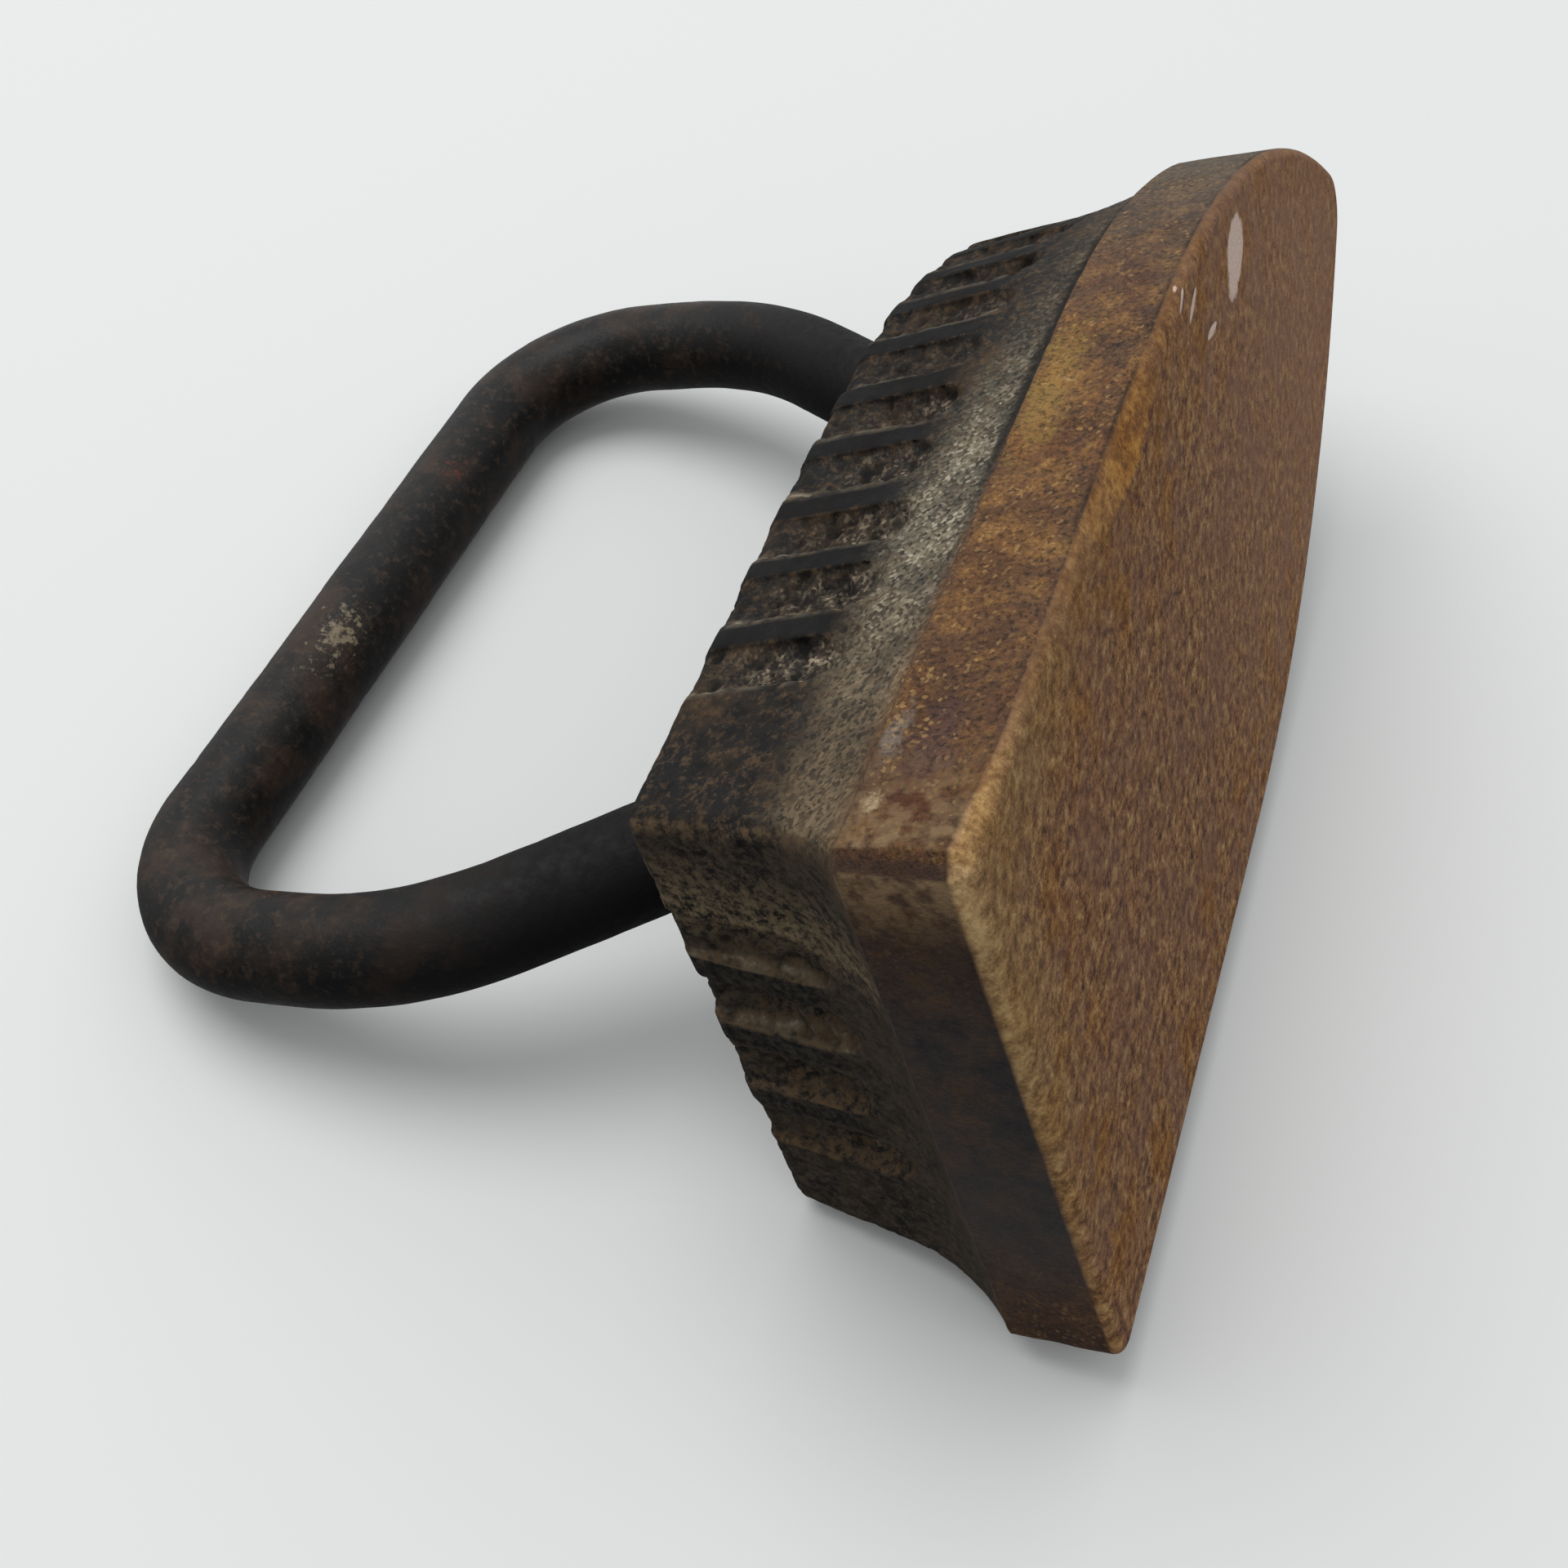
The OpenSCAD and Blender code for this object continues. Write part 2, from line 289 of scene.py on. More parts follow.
# %% The wall at any height
COVE_H, RIM_R = 14.0, 1.6
RUN_OUT = 0.72
crease_x, crease_y = outline(PLATE, stations, -PLATE_LEAN - CREASE_BREAK - ledge)
foot_x, foot_y = outline(TOP, stations, wall_run)


def scoop(z):
    """Depth of the groove under each station at a height. It gets shallow towards the rim."""
    below = np.maximum(0, (groove_end[groove] + FLUTE_END_H - z) / FLUTE_END_H)
    floor = np.sqrt(np.maximum(0, 1 - stations["across"] ** 2 - below**2))
    return np.where(in_groove, groove_depth[groove] * floor * (1 - RUN_OUT * rise(z, 28, 36)), 0.0)


def wall(z):
    """Points at a height: the leaning wall with its grooves and rim, swept out to the crease below."""
    round_rim = RIM_R - math.sqrt(max(0.0, RIM_R**2 - max(0.0, z - BODY_H + RIM_R) ** 2))
    leaning = wall_run * (BODY_H - z) / (BODY_H - PLATE_H)
    x, y = outline(TOP, stations, leaning - round_rim - scoop(z))
    sweep = max(0.0, 1 - (z - PLATE_H) / COVE_H) ** (3 + 2 * at_nose)
    return x + sweep * (crease_x - foot_x), y + sweep * (crease_y - foot_y)


print("grooves up to", round(float(scoop(28.0).max()), 1), "mm deep")

# %% Rows of the sheet
SPINE_REAR, SPINE_FRONT = 34, 112
LIP_AT, LIP_W = -0.86, 0.14
rows = []


def add_row(points, z, **marks):
    """One row of the sheet, with the marks that are not 0 on it."""
    x, y = points
    rows.append((x, y, np.broadcast_to(z, x.shape), marks))


def add_flat(points, z, steps, sole):
    """Rows from the spine out to an edge, or back again."""
    x, y = points
    spine = np.clip(x, SPINE_REAR, SPINE_FRONT)
    for t in steps:
        add_row((spine + t * (x - spine), t * y), z, sole=sole, outward=t)


def add_wall(z):
    """One row of the wall. The lip is the heel side of a groove, where a line of dust and a painted
    highlight lie.
    """
    begun = np.clip((z - groove_end[groove]) / FLUTE_END_H, 0, 1) * (z > FLUTE_END_Z - 1)
    lip = np.exp(-(((stations["across"] - LIP_AT) / LIP_W) ** 2)) * in_groove * begun
    rib = (stations["across"] == ON_RIB) * rise(z, FLUTE_END_Z, FLUTE_END_Z + 4)
    add_row(wall(z), z, flute=scoop(z) / FLUTE_DEPTH, lip=lip, rib=rib)


add_flat(outline(PLATE, stations, -edge_in), 0.0, [*np.linspace(0, 1, 10)[:-1], 0.985], 1.0)
for u in np.linspace(0, 1, 10):
    inward = facet * (1 - u) + (1 - facet) * (1 - math.sin(u * QUARTER))
    upward = facet * u + (1 - facet) * (1 - math.cos(u * QUARTER))
    edge = np.clip(u * np.where(facet > 0.2, 9.0, 1.6), 0, 1) * (u < 1)
    line = 1.0 if u == 1 else 0.8 * facet * (u == 0)
    add_row(outline(PLATE, stations, -edge_in * inward), edge_up * upward,
            sole=min(1.0, 4 - 4 * u), outward=1.0, edge=edge, edge_line=line)
for t in np.linspace(0, 1, 21)[1:]:
    add_row(outline(PLATE, stations, -PLATE_LEAN * t), edge_up + t * (PLATE_H - CREASE_BREAK - edge_up))
add_row(outline(PLATE, stations, -PLATE_LEAN - CREASE_BREAK), PLATE_H, crest=1.0)
for lowest, highest, count in ((PLATE_H, 19.4, 22), (19.7, 25.0, 18), (25.4, BODY_H - RIM_R, 27)):
    for z in np.linspace(lowest, highest, count):
        add_wall(z)
for a in np.linspace(0, QUARTER, 8)[1:]:
    add_wall(BODY_H - RIM_R * (1 - math.sin(a)))
add_flat(outline(TOP, stations, -RIM_R - 1.2), BODY_H, np.linspace(1, 0, 9), 0.0)
print(len(rows), "rows of the sheet")

# %% Marks of the sheet, and the sheet carried to its place
place = np.stack([np.stack([x - SOLE_LEN / 2, y, z], -1) for x, y, z, _ in rows])
masks = {}
# The last two stay 0 until the skin is pushed.
for key in ("flute", "lip", "rib", "sole", "outward", "edge", "edge_line", "crest", "pit", "up"):
    masks[key] = np.stack([np.broadcast_to(marks.get(key, 0.0), len(ring)) for *_, marks in rows])
bevel = (stations["stretch"] == CORNER) & (stations["side"] < 0)
from_bevel_mid = abs(stations["value"] - 0.5)
behind = at_heel & ~(bevel & (stations["value"] > 0.6))
masks["heel"] = behind * (place[..., 2] < BODY_H - 0.5) * 1.0
masks["bevel"] = np.broadcast_to((bevel & (from_bevel_mid < 0.3)) * 1.0, place.shape[:2])
masks["bevel_line"] = np.broadcast_to((bevel & (from_bevel_mid > 0.45)) * 1.0, place.shape[:2])
masks["facet"] = np.broadcast_to(facet, place.shape[:2])
body_mesh, body_layers = wrap_sheet(place, masks)
print("casting skin", len(body_mesh.verts), "points")

# %% [markdown]
# ## Sand-cast skin
# Iron poured into sand keeps the grain of the sand. The grooves are pocked with pits one or two
# millimetres wide, the ribs between them were rubbed smooth, and the plate was ground, so it has
# only long shallow waves and dented edges. The depth of the pits is kept for the finish.

# %% Push the casting's skin in and out
LONG_WAVE, SHORT_WAVE, DENT = 17.0, 5.5, 4.5
WIDE_PORE, SMALL_PORE, SAND = 1.5, 0.85, 0.6
OTHER_PORES, OTHER_DENTS = Vector((7, 3, 1)), Vector((0, 9, 4))
MOST_OUTWARD = 0.25


def sand_cast(v):
    """The shift of one point of the casting. The flat sole stays, and the top only sinks in."""
    p = v.co / MM
    flute, rib = v[body_layers["flute"]], v[body_layers["rib"]]
    wave = 0.22 * noise.noise(p / LONG_WAVE) + 0.13 * noise.noise(p / SHORT_WAVE)
    if p.z > BODY_H - 0.02:
        return Vector((0, 0, min(0.0, 0.6 * wave)))
    pores = max(0.0, noise.noise(p / WIDE_PORE))
    pores += 0.7 * max(0.0, noise.noise(p / SMALL_PORE + OTHER_PORES) - 0.05)
    bare = 0.15 + 0.3 * rise(p.z, 18, 22)
    rough = (bare + (1 - bare) * min(1.0, 1.4 * flute)) * (1 - 0.85 * rib)
    sand = (0.025 + 0.045 * min(1.0, flute)) * noise.noise(p / SAND)
    upper = rise(p.z, PLATE_H + 0.3, PLATE_H + 3.3)
    v[body_layers["pit"]] = upper * rough * pores
    push = upper * (wave - 0.95 * rough * pores + sand) + (1 - upper) * (0.25 * wave + 0.4 * sand)
    if v[body_layers["sole"]] > 0.99:
        push = 0.0
    elif p.z < PLATE_H + 1:
        push -= 0.35 * max(0.0, noise.noise(p / DENT + OTHER_DENTS) - 0.15)
    return v.normal * min(MOST_OUTWARD, push)


push_skin(body_mesh, sand_cast)
for v in body_mesh.verts:
    v[body_layers["up"]] = max(0.0, -v.normal.y)
casting = finish_piece("casting", body_mesh, "body")

# %% [markdown]
# ## The handle
# A blacksmith bends a round bar: grip, two right-angled bends, two uprights that turn in again, and
# two legs that run into the casting, each with its end upset to a head so that it can't pull out.
# The bar's axis is written as straight runs and bends, and the sheet is rolled round it.

# %% The axis of half the bar
BAR_R, HEAD_R = 6.35, 8.35
GRIP_H, HALF_SPAN, HANDLE_X = 115.1, 59.75, 74.4 - SOLE_LEN / 2
GRIP_BEND_R, TURN_DROP, TURN_R = 18.5, 37.7, 41.8
FOOT_HALF, FOOT_DEPTH = 31.4, 22.0
turn_z = GRIP_H - TURN_DROP
lean = math.atan2(HALF_SPAN - FOOT_HALF, turn_z - BODY_H)
turn_top = turn_z + TURN_R * math.tan(lean / 2)
half_axis = [(x, GRIP_H, 0.0, BAR_R) for x in np.linspace(0, HALF_SPAN - GRIP_BEND_R, 40)[:-1]]


def add_bend(middle_x, middle_z, radius, first, last, points):
    """A bend of the axis. Each point has its place, the way that the bar's outside faces, and a radius."""
    for a in np.linspace(first, last, points):
        half_axis.append((middle_x + radius * math.sin(a), middle_z + radius * math.cos(a), a, BAR_R))


add_bend(HALF_SPAN - GRIP_BEND_R, GRIP_H - GRIP_BEND_R, GRIP_BEND_R, 0, QUARTER, 30)
for z in np.linspace(GRIP_H - GRIP_BEND_R, turn_top, 6)[1:-1]:
    half_axis.append((HALF_SPAN, z, QUARTER, BAR_R))
add_bend(HALF_SPAN - TURN_R, turn_top, TURN_R, QUARTER, QUARTER + lean, 24)
leg_x, leg_z = half_axis[-1][:2]
leg_len = (leg_z - BODY_H + FOOT_DEPTH) / math.cos(lean)
leg = [(d, BAR_R) for d in np.linspace(0, leg_len - 6, 46)[1:]]
head = [(leg_len - 5, HEAD_R), (leg_len - 1, HEAD_R), (leg_len, BAR_R), (leg_len, 0.0)]
for d, r in leg + head:
    half_axis.append((leg_x - d * math.sin(lean), leg_z - d * math.cos(lean), QUARTER + lean, r))
print("legs lean", round(math.degrees(lean), 1), "degrees")

# %% The sheet round the bar, with dents from the hammer and small pits
AROUND = 57
HAMMER_WAVE, HAMMER_DENT, SCALE_PIT = 14.0, 4.0, 2.2
turns = np.linspace(0, 2 * math.pi, AROUND)
bar_rows = []
for sign, points in ((-1, half_axis[:0:-1]), (1, half_axis)):
    for x, z, a, r in points:
        out, side = r * np.cos(turns), r * np.sin(turns)
        to_nose = HANDLE_X + sign * (x + out * math.sin(a))
        bar_rows.append(np.stack([to_nose, side, z + out * math.cos(a)], -1))
bar_mesh, _ = wrap_sheet(np.stack(bar_rows), {})


def forge(v):
    """The shift of one point of the bar."""
    p = v.co / MM
    push = 0.13 * noise.noise(p / HAMMER_WAVE) + 0.05 * noise.noise(p / HAMMER_DENT)
    push -= 0.18 * max(0.0, noise.noise(p / SCALE_PIT) - 0.3)
    return v.normal * min(0.08, push)


push_skin(bar_mesh, forge)
bar = finish_piece("bar_handle", bar_mesh, "handle")

# %% [markdown]
# ## Finishes
# Everything is iron, but hardly any bare metal shows: soot, dust and rust lie over it, and they are
# dull and not metallic. So each finish is painted in coats, from the lowest colour up, and a mask says
# how thick each coat is. Masks come from noise, from the place on the iron and from the sheet's marks.
# Colours are written as a painter would pick them, in sRGB, and turned to linear light once.

# %% Helpers for finishes
# A mix of colours shares its socket names with the other kinds of mix, so these are reached by number.
FACTOR, UNDER, OVER, MIXED = 0, 6, 7, 2
SOFT = {"interpolation_type": "SMOOTHSTEP"}


def linear(code):
    """sRGB hex to a linear colour."""
    parts = [int(code[k : k + 2], 16) / 255 for k in (1, 3, 5)]
    return [c / 12.92 if c <= 0.04045 else ((c + 0.055) / 1.055) ** 2.4 for c in parts] + [1.0]


def add_node(tree, kind, settings=None, links=None):
    """One node. Settings are its properties, its input values, the stops of its ramp or the two ends of
    a range and what they become. Links are its inputs."""
    node = tree.nodes.new("ShaderNode" + kind)
    for key, value in (settings or {}).items():
        if key == "ramp":
            band = node.color_ramp
            while len(band.elements) < len(value):
                band.elements.new(0.5)
            for element, (spot, colour) in zip(band.elements, value):
                element.position = spot
                element.color = linear(colour) if isinstance(colour, str) else [colour] * 3 + [1]
        elif key == "range":
            for number, end in enumerate(value, 1):
                node.inputs[number].default_value = end
        elif isinstance(key, int) or key in node.inputs:
            node.inputs[key].default_value = linear(value) if isinstance(value, str) else value
        else:
            setattr(node, key, value)
    for key, source in (links or {}).items():
        socket = source if isinstance(source, bpy.types.NodeSocket) else source.outputs[0]
        tree.links.new(socket, node.inputs[key])
    return node


def coat(tree, under, colour, *shares, blend="MIX"):
    """A colour laid over what is under it, as thick as its shares multiplied with each other."""
    thick = shares[0]
    for share in shares[1:]:
        thick = add_node(tree, "Math", {"operation": "MULTIPLY"}, {0: thick, 1: share})
    settings, links = {"data_type": "RGBA", "blend_type": blend}, {}
    for socket, source in ((FACTOR, thick), (UNDER, under), (OVER, colour)):
        fixed = isinstance(source, (str, float))
        (settings if fixed else links)[socket] = source
    return add_node(tree, "Mix", settings, links).outputs[MIXED]


def blot(tree, mm, at, half, turn, rim, ragged, fade):
    """The mask of one spot: an ellipsoid at a place, with half sizes in mm, turned by some degrees. The
    noise in rim makes it ragged, and it thins out over the range in fade."""
    settings = {"vector_type": "TEXTURE", "Location": at, "Scale": half}
    settings["Rotation"] = (0.0, 0.0, math.radians(turn))
    own = add_node(tree, "Mapping", settings, {0: mm})
    far = add_node(tree, "VectorMath", {"operation": "LENGTH"}, {0: own}).outputs["Value"]
    uneven = add_node(tree, "Math", {"operation": "MULTIPLY_ADD", 1: ragged}, {0: rim, 2: far})
    return add_node(tree, "MapRange", {"range": fade}, {0: uneven})


def new_material(name):
    """An empty material, its tree of nodes, and the node that gives a place in mm."""
    material = bpy.data.materials.new(name)
    material.use_nodes = True
    tree = material.node_tree
    tree.nodes.clear()
    spot = add_node(tree, "TexCoord").outputs["Object"]
    return material, tree, add_node(tree, "VectorMath", {"operation": "SCALE", "Scale": 1 / MM}, {0: spot})


# %% [markdown]
# ### Sooty cast iron
# Above the crease the casting is black with stove soot. The ribs are smooth and nearly blue-black,
# the grooves hold beige dust between dark pits, and a line of dust with a painted highlight lies along each
# groove's heel side.
# Real dust is finer than the picture can show, so its crumbs are drawn 0.4 mm wide.

# %% What the casting's finish reads: noises by their size in mm, crumbs, marks and the place in mm
iron, tree, mm = new_material("cast_iron_sooty_and_rusted")
nose_way, left_way, height = add_node(tree, "SeparateXYZ", links={0: mm}).outputs
marks = {}
for key in masks:
    marks[key] = add_node(tree, "Attribute", {"attribute_name": key}).outputs["Fac"]
broad = add_node(tree, "TexNoise", {"Scale": 1 / 12, "Detail": 8, "Roughness": 0.7}, {0: mm})
cloud = add_node(tree, "TexNoise", {"Scale": 1 / 7, "Detail": 6, "Roughness": 0.65}, {0: mm})
mottle = add_node(tree, "TexNoise", {"Scale": 1 / 1.7, "Detail": 2, "Roughness": 0.55}, {0: mm})
fibre = add_node(tree, "TexNoise", {"Scale": 1 / 1.7, "Detail": 8, "Roughness": 0.82}, {0: mm})
grain = add_node(tree, "TexNoise", {"Scale": 1 / 1.1, "Detail": 6, "Roughness": 0.8}, {0: mm})
grit = add_node(tree, "TexNoise", {"Scale": 1 / 0.5, "Detail": 4, "Roughness": 0.7}, {0: mm})
crumbs = add_node(tree, "TexVoronoi", {"Scale": 1 / 0.38}, {0: mm})
crumb_a, crumb_b, _ = add_node(tree, "SeparateColor", links={0: crumbs.outputs["Color"]}).outputs
print(len(marks), "marks for the finish of the casting")

# %% Soot on the upper body
SOOT = [(0.36, "#101011"), (0.5, "#1d1a18"), (0.64, "#3a2f25")]
GROOVE_DUST = [(0.0, "#211c18"), (0.5, "#3f362d"), (1.0, "#7f7360")]
soot = add_node(tree, "ValToRGB", {"ramp": SOOT}, {0: cloud})
brown = add_node(tree, "ValToRGB", {"ramp": [(0.5, 0.0), (0.62, 0.75)]}, {0: grain})
soot = coat(tree, soot, "#5a4630", brown)
beige = add_node(tree, "ValToRGB", {"ramp": GROOVE_DUST}, {0: crumb_b})
loose = add_node(tree, "MapRange", {"range": (0.42, 0.62, 0.35, 2.0)}, {0: mottle})
beige = coat(tree, beige, loose, 1.0, blend="MULTIPLY")
rearmost = add_node(tree, "MapRange", {"range": (-50, 0, 1.0, 0.25)}, {0: nose_way})
low = add_node(tree, "MapRange", {"range": (35, 25, 0.2, 1.0)}, {0: height})
off_heel = add_node(tree, "MapRange", {"range": (0, 1, 1.0, 0.3)}, {0: marks["heel"]})
soot = coat(tree, soot, beige, marks["flute"], rearmost, low, off_heel)
smooth = add_node(tree, "MapRange", {"range": (0, 1, 0.0, 0.9)}, {0: marks["rib"]})
soot = coat(tree, soot, "#08090b", smooth)
broken = add_node(tree, "MapRange", {"range": (0.4, 0.6, 0.1, 0.8)}, {0: mottle})
# Painted highlight: the lip line is dust on each groove's heel side, painted brighter as if lit.
soot = coat(tree, soot, "#a0937c", marks["lip"], broken)
pit = add_node(tree, "MapRange", {"range": (0.05, 0.5, 1.0, 0.2)}, {0: marks["pit"]})
soot = coat(tree, soot, pit, 1.0, blend="MULTIPLY")
print(len(tree.nodes), "nodes with the soot")

# %% [markdown]
# Grey dust has settled in the hollow sweep, thickest over the rear of the side and brown at its rear
# corner. It thins out towards the nose and reaches less high there.

# %% Dust in the hollow sweep
SWEEP_DUST = [(0.0, "#726a58"), (0.6, "#958b76"), (1.0, "#c4bba6")]
ragged = add_node(tree, "Math", {"operation": "MULTIPLY_ADD", 1: 5.0, 2: -2.5}, {0: cloud})
nearer_nose = add_node(tree, "MapRange", {"range": (-34, 0, 0.0, 3.5)}, {0: nose_way})
level = add_node(tree, "Math", {"operation": "ADD"}, {0: height, 1: ragged})
level = add_node(tree, "Math", {"operation": "ADD"}, {0: level, 1: nearer_nose})
dust = add_node(tree, "MapRange", {**SOFT, "range": (24, 17)}, {0: level})
from_heel = add_node(tree, "MapRange", {**SOFT, "range": (10, -38, 0.2, 0.95)}, {0: nose_way})
patchy = add_node(tree, "MapRange", {"range": (0.4, 0.58, 0.2, 1.0)}, {0: cloud})
thin = add_node(tree, "MapRange", {"range": (0, 1, 0.3, 1.0)}, {0: patchy})
speckle = add_node(tree, "MapRange", {"range": (0.1, 0.8, 0.2, 1.0)}, {0: crumb_a})
grey = add_node(tree, "ValToRGB", {"ramp": SWEEP_DUST}, {0: crumb_b})
tint = add_node(tree, "MapRange", {"range": (-36, -64)}, {0: nose_way})
upper = coat(tree, soot, coat(tree, grey, "#7d6c54", tint), dust, off_heel, from_heel, thin, speckle)
print(len(tree.nodes), "nodes with the dust")

# %% [markdown]
# The heel is ashy, with brown fluff and a painted highlight on whatever faces up to the light while the
# iron lies on its side, and a paler patch between its flutes and its right corner. Where the casting steps
# back behind the plate's ledge, soot and a painted shade fill the corner as a dark line.

# %% Ash, fluff and painted highlight on the heel, and the dark line of soot and painted shade over the ledge
ashy = add_node(tree, "MapRange", {"range": (0.42, 0.6, 0.0, 0.7)}, {0: grain})
upper = coat(tree, upper, "#4a443c", ashy, marks["heel"])
# Painted highlight: faces turned up to the light get brown, partly fluff and partly painted light.
fluff_and_painted_light = add_node(tree, "MapRange", {"range": (0.05, 0.6, 0.05, 0.85)}, {0: marks["up"]})
fuzzy = add_node(tree, "MapRange", {"range": (0.42, 0.58)}, {0: grain})
upper = coat(tree, upper, "#5f4b33", fluff_and_painted_light, fuzzy, marks["heel"])
past_flutes = add_node(tree, "MapRange", {"range": (-13, -18)}, {0: left_way})
off_corner = add_node(tree, "MapRange", {"range": (-26.5, -19, 0.05, 1.0)}, {0: left_way})
upper = coat(tree, upper, "#86755a", past_flutes, fuzzy, off_corner, marks["heel"])
wander = add_node(tree, "Math", {"operation": "MULTIPLY_ADD", 1: 1.6, 2: -0.8}, {0: grain})
rough_height = add_node(tree, "Math", {"operation": "ADD"}, {0: height, 1: wander})
# Painted shade: a dark line in the corner behind the ledge, partly soot and partly painted shade.
in_corner = add_node(tree, "MapRange", {**SOFT, "range": (13.9, 12.7)}, {0: rough_height})
forward = add_node(tree, "MapRange", {"range": (-55, -25, 0.0, 0.9)}, {0: nose_way})
upper = coat(tree, upper, "#151210", in_corner, forward)
print(len(tree.nodes), "nodes with the heel")

# %% [markdown]
# ### Rust on the plate's side
# Below the crease the iron was ground and then rusted: dark brown, orange and a straw-gold bloom in
# clouds half a centimetre across, greyer at the nose. A few patches lie where they were seen: red,
# pale, grey, brown and golden ones.

# %% Rust clouds and patches, with each patch's place and half sizes in mm
RUST = [(0.34, "#3c2a1d"), (0.43, "#593f2e"), (0.5, "#765438"), (0.58, "#996d3a"), (0.68, "#c4a068")]
PATCHES = [((-74.8, -36, 6.8), (4.4, 3, 2.6), "#5c260e"), ((-74.6, -36, 9.8), (1.3, 3, 0.9), "#ecd0a4"),
           ((-66.0, -36, 10.6), (3.4, 3, 1.1), "#94887a"), ((-45.0, -36, 7.6), (9.0, 3, 3.8), "#76502f"),
           ((-18.0, -36, 9.4), (12.0, 3, 2.6), "#b18d45"), ((-68.0, -36, 6.0), (4.5, 3, 2.6), "#664a42")]
clouds = {"Scale": 1 / 5, "Detail": 10, "Roughness": 0.82, "Distortion": 0.2}
rust_cloud = add_node(tree, "TexNoise", clouds, {0: mm})
rust = add_node(tree, "ValToRGB", {"ramp": RUST}, {0: rust_cloud})
red = add_node(tree, "MapRange", {"range": (0.5, 0.62, 0.0, 0.4)}, {0: broad})
rust = coat(tree, rust, "#74401f", red)
to_nose = add_node(tree, "MapRange", {"range": (-8, 42, 0.0, 0.88)}, {0: nose_way})
rust = coat(tree, rust, "#665d50", to_nose)
to_heel = add_node(tree, "MapRange", {"range": (-45, -72, 0.0, 0.55)}, {0: nose_way})
rust = coat(tree, rust, "#5a3b28", to_heel)
for at, half, colour in PATCHES:
    rust = coat(tree, rust, colour, blot(tree, mm, at, half, 0, rust_cloud, 6.0, (4.1, 3.5, 0.0, 0.6)))
fleck = add_node(tree, "ValToRGB", {"ramp": [(0.37, 0.25), (0.5, 0.85), (0.58, 1.0)]}, {0: grit})
rust = coat(tree, rust, fleck, 0.9, blend="MULTIPLY")
golden = add_node(tree, "ValToRGB", {"ramp": [(0.88, 0.0), (0.97, 0.45)]}, {0: crumb_a})
rust = coat(tree, rust, "#c9a266", golden, patchy)
print(len(PATCHES), "patches on the plate's side")

# %% [markdown]
# The heel of the plate is blue-black with soot burnt on, and goes brown towards its two corners. The
# bevel at the right corner is dark between two lines of painted highlight, and the crest of the crease is
# rubbed paler along the heel. Soot and rust meet in a soft change at the rear and a sharp one at the nose.

# %% Burnt heel, bevel and crease
BURNT = [(0.36, "#302f32"), (0.5, "#48413e"), (0.66, "#684f3a")]
burnt = add_node(tree, "ValToRGB", {"ramp": BURNT}, {0: rust_cloud})
paler = add_node(tree, "MapRange", {"range": (-8, 18, 0.0, 0.45)}, {0: left_way})
burnt = coat(tree, burnt, "#5c5654", paler)
darker = add_node(tree, "MapRange", {"range": (-10, 10, 0.6, 0.1)}, {0: left_way})
from_middle = add_node(tree, "Math", {"operation": "ABSOLUTE"}, {0: left_way})
at_corner = add_node(tree, "MapRange", {**SOFT, "range": (12, 31, 0.0, 0.8)}, {0: from_middle})
burnt = coat(tree, burnt, coat(tree, rust, "#3a261b", darker), at_corner)
side = coat(tree, rust, burnt, marks["heel"])
hollow = add_node(tree, "MapRange", {"range": (2, 8, 0.1, 0.8)}, {0: height})
side = coat(tree, side, "#33241a", hollow, marks["bevel"], patchy)
# Painted highlight: two bright lines along the bevel's edges.
side = coat(tree, side, "#a08562", marks["bevel_line"], broken)
rubbed = add_node(tree, "MapRange", {"range": (0, 1, 0.15, 0.8)}, {0: marks["heel"]})
side = coat(tree, side, "#8b7c6c", rubbed, marks["crest"], broken)
change_h = add_node(tree, "MapRange", {"range": (-60, -15, 3.6, 0.35)}, {0: nose_way})
change_z = add_node(tree, "MapRange", {"range": (-60, -15, 10.6, 11.7)}, {0: nose_way})
above = add_node(tree, "Math", {"operation": "SUBTRACT"}, {0: rough_height, 1: change_z})
above = add_node(tree, "Math", {"operation": "DIVIDE"}, {0: above, 1: change_h})
soot_and_leg_shade = add_node(tree, "MapRange", SOFT, {0: above})
skin = coat(tree, side, upper, soot_and_leg_shade)
print(len(tree.nodes), "nodes with the plate's side")

# %% [markdown]
# ### The ironing face
# The sole is smooth from use and has rusted to a warm brown, mottled in crumbs of a millimetre or
# so, which look like fibres at a low angle of view. Violet-brown clouds lie over it, a few grey crumbs
# are painted glints, and towards its right edge it is ochre, or straw-coloured near the heel. Towards the
# nose it is paler and pinker, partly its own tone and partly a painted sheen.

# %% The sole
FACE = [(0.38, "#3a2016"), (0.45, "#7a5134"), (0.53, "#b08154"), (0.6, "#d0a870"), (0.68, "#f0dcba")]
OCHRE = [(0.4, "#6a411a"), (0.5, "#9c6624"), (0.6, "#c08c3e")]
STRAW = [(0.38, "#785832"), (0.5, "#a98352"), (0.62, "#d2ae74")]
face = add_node(tree, "ValToRGB", {"ramp": FACE}, {0: fibre})
violet = add_node(tree, "MapRange", {"range": (0.42, 0.62, 0.0, 0.6)}, {0: broad})
face = coat(tree, face, "#875f50", violet)
# Painted sheen: paler and pinker towards the nose, partly the sole's own tone and partly a painted sheen.
nose_tone_and_sheen = add_node(tree, "MapRange", {"range": (-20, 50, 0.0, 0.4)}, {0: nose_way})
face = coat(tree, face, "#b98b6a", nose_tone_and_sheen)
